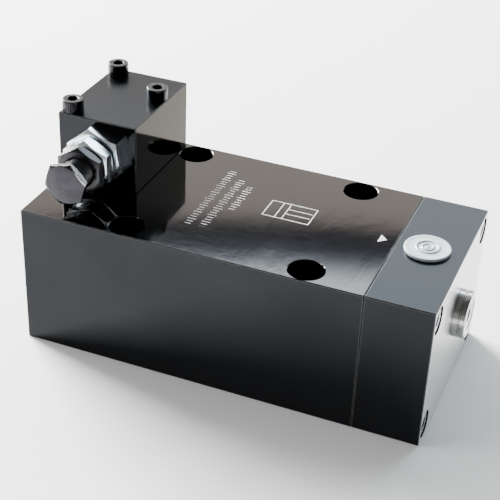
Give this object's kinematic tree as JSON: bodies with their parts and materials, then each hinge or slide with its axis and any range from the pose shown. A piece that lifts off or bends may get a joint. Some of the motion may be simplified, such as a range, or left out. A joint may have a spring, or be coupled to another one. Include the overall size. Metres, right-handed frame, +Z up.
{
  "type": "hydraulic pressure intensifier",
  "caption": "Black steel hydraulic pressure booster block with a bolted end cap, a top-mounted adjustable sequence valve with lock nuts, and counterbored mounting holes.",
  "frame": {"origin": "centre of the four mounting holes, on the underside of the body", "axes": "+Z up from the mounting face, +X along the piston's axis towards the end cap, +Y towards the back; the valve's adjusting screw points along -Y"},
  "size_m": [0.1715, 0.08, 0.094],
  "materials": {
    "blackened_steel": "black-oxide ground steel, glossy",
    "satin_steel": "blackened steel, satin ground top",
    "bright_screw_steel": "bright steel screw heads",
    "ground_steel": "ground steel",
    "stainless_steel": "turned stainless steel",
    "zinc_plate": "bright zinc plate, bluish",
    "black_oxide": "black-oxide screws and nuts",
    "rubber": "black nitrile rubber",
    "seal_plastic": "filled PTFE seal",
    "urethane": "polyurethane seal",
    "guide_composite": "bronze-filled PTFE guide ring",
    "seat_bronze": "bronze seat",
    "spring_steel": "spring steel wire",
    "natural_polyethylene": "milky natural polyethylene"
  },
  "bodies": {
    "block": {"main_body": "blackened_steel", "end_cap": "satin_steel", "cap_screws": "bright_screw_steel", "drilling_plugs": "ground_steel", "plunger_sleeve": "ground_steel", "sleeve_oring": "rubber", "plunger_seal": "urethane", "plunger_guide": "guide_composite", "cap_face_oring": "rubber", "crossing_oring": "rubber", "check_seat": "seat_bronze", "check_spring": "spring_steel", "end_plug": "stainless_steel", "end_plug_seal": "rubber", "valve_block": "satin_steel", "valve_block_screws": "black_oxide", "valve_block_orings": "rubber", "valve_cartridge": "zinc_plate", "cartridge_orings": "rubber", "sequence_spring": "spring_steel"},
    "piston": {"booster_piston": "ground_steel", "piston_seal": "seal_plastic", "piston_guide_rings": "guide_composite"},
    "check_ball": {"check_ball": "ground_steel"},
    "poppet": {"sequence_poppet": "ground_steel"},
    "spring_plate": {"spring_plate": "ground_steel"},
    "adjusting_screw": {"adjusting_screw": "black_oxide", "stop_nut": "black_oxide"},
    "seal_washer": {"seal_washer": "rubber"},
    "lock_nut": {"lock_nut": "zinc_plate"},
    "transit_plug": {"transit_plug": "natural_polyethylene"}
  },
  "joints": [
    {"name": "piston_stroke", "type": "slide", "parent": "block", "child": "piston", "axis": [1, 0, 0], "range_m": [0, 0.036]},
    {"name": "check_ball_lift", "type": "slide", "parent": "block", "child": "check_ball", "axis": [1, 0, 0], "range_m": [0, 0.0015], "stiffness_N_per_m": 500, "deforming": ["check_spring"]},
    {"name": "poppet_lift", "type": "slide", "parent": "block", "child": "poppet", "axis": [0, -1, 0], "range_m": [0, 0.0012], "stiffness_N_per_m": 23500, "deforming": ["sequence_spring"]},
    {"name": "adjuster_advance", "type": "slide", "parent": "block", "child": "spring_plate", "axis": [0, -1, 0], "range_m": [-0.0005, 0.005], "deforming": ["sequence_spring"]},
    {"name": "adjuster_turn", "type": "hinge", "parent": "spring_plate", "child": "adjusting_screw", "pos_m": [-0.06, -0.0395, 0.0745], "axis": [0, -1, 0], "range_deg": [-180, 1800]},
    {"name": "lock_nut_advance", "type": "slide", "parent": "block", "child": "seal_washer", "axis": [0, -1, 0], "range_m": [0, 0.0005]},
    {"name": "lock_nut_turn", "type": "hinge", "parent": "seal_washer", "child": "lock_nut", "pos_m": [-0.06, -0.019, 0.0745], "axis": [0, -1, 0], "range_deg": [0, 180]},
    {"name": "transit_plug_pull", "type": "slide", "parent": "block", "child": "transit_plug", "axis": [0, 0, 1], "range_m": [0, 0.012]}
  ],
  "couplings": [
    {"joint": "adjuster_turn", "follows": "adjuster_advance", "rad_per_m": 6283.2},
    {"joint": "lock_nut_turn", "follows": "lock_nut_advance", "rad_per_m": 6283.2}
  ]
}
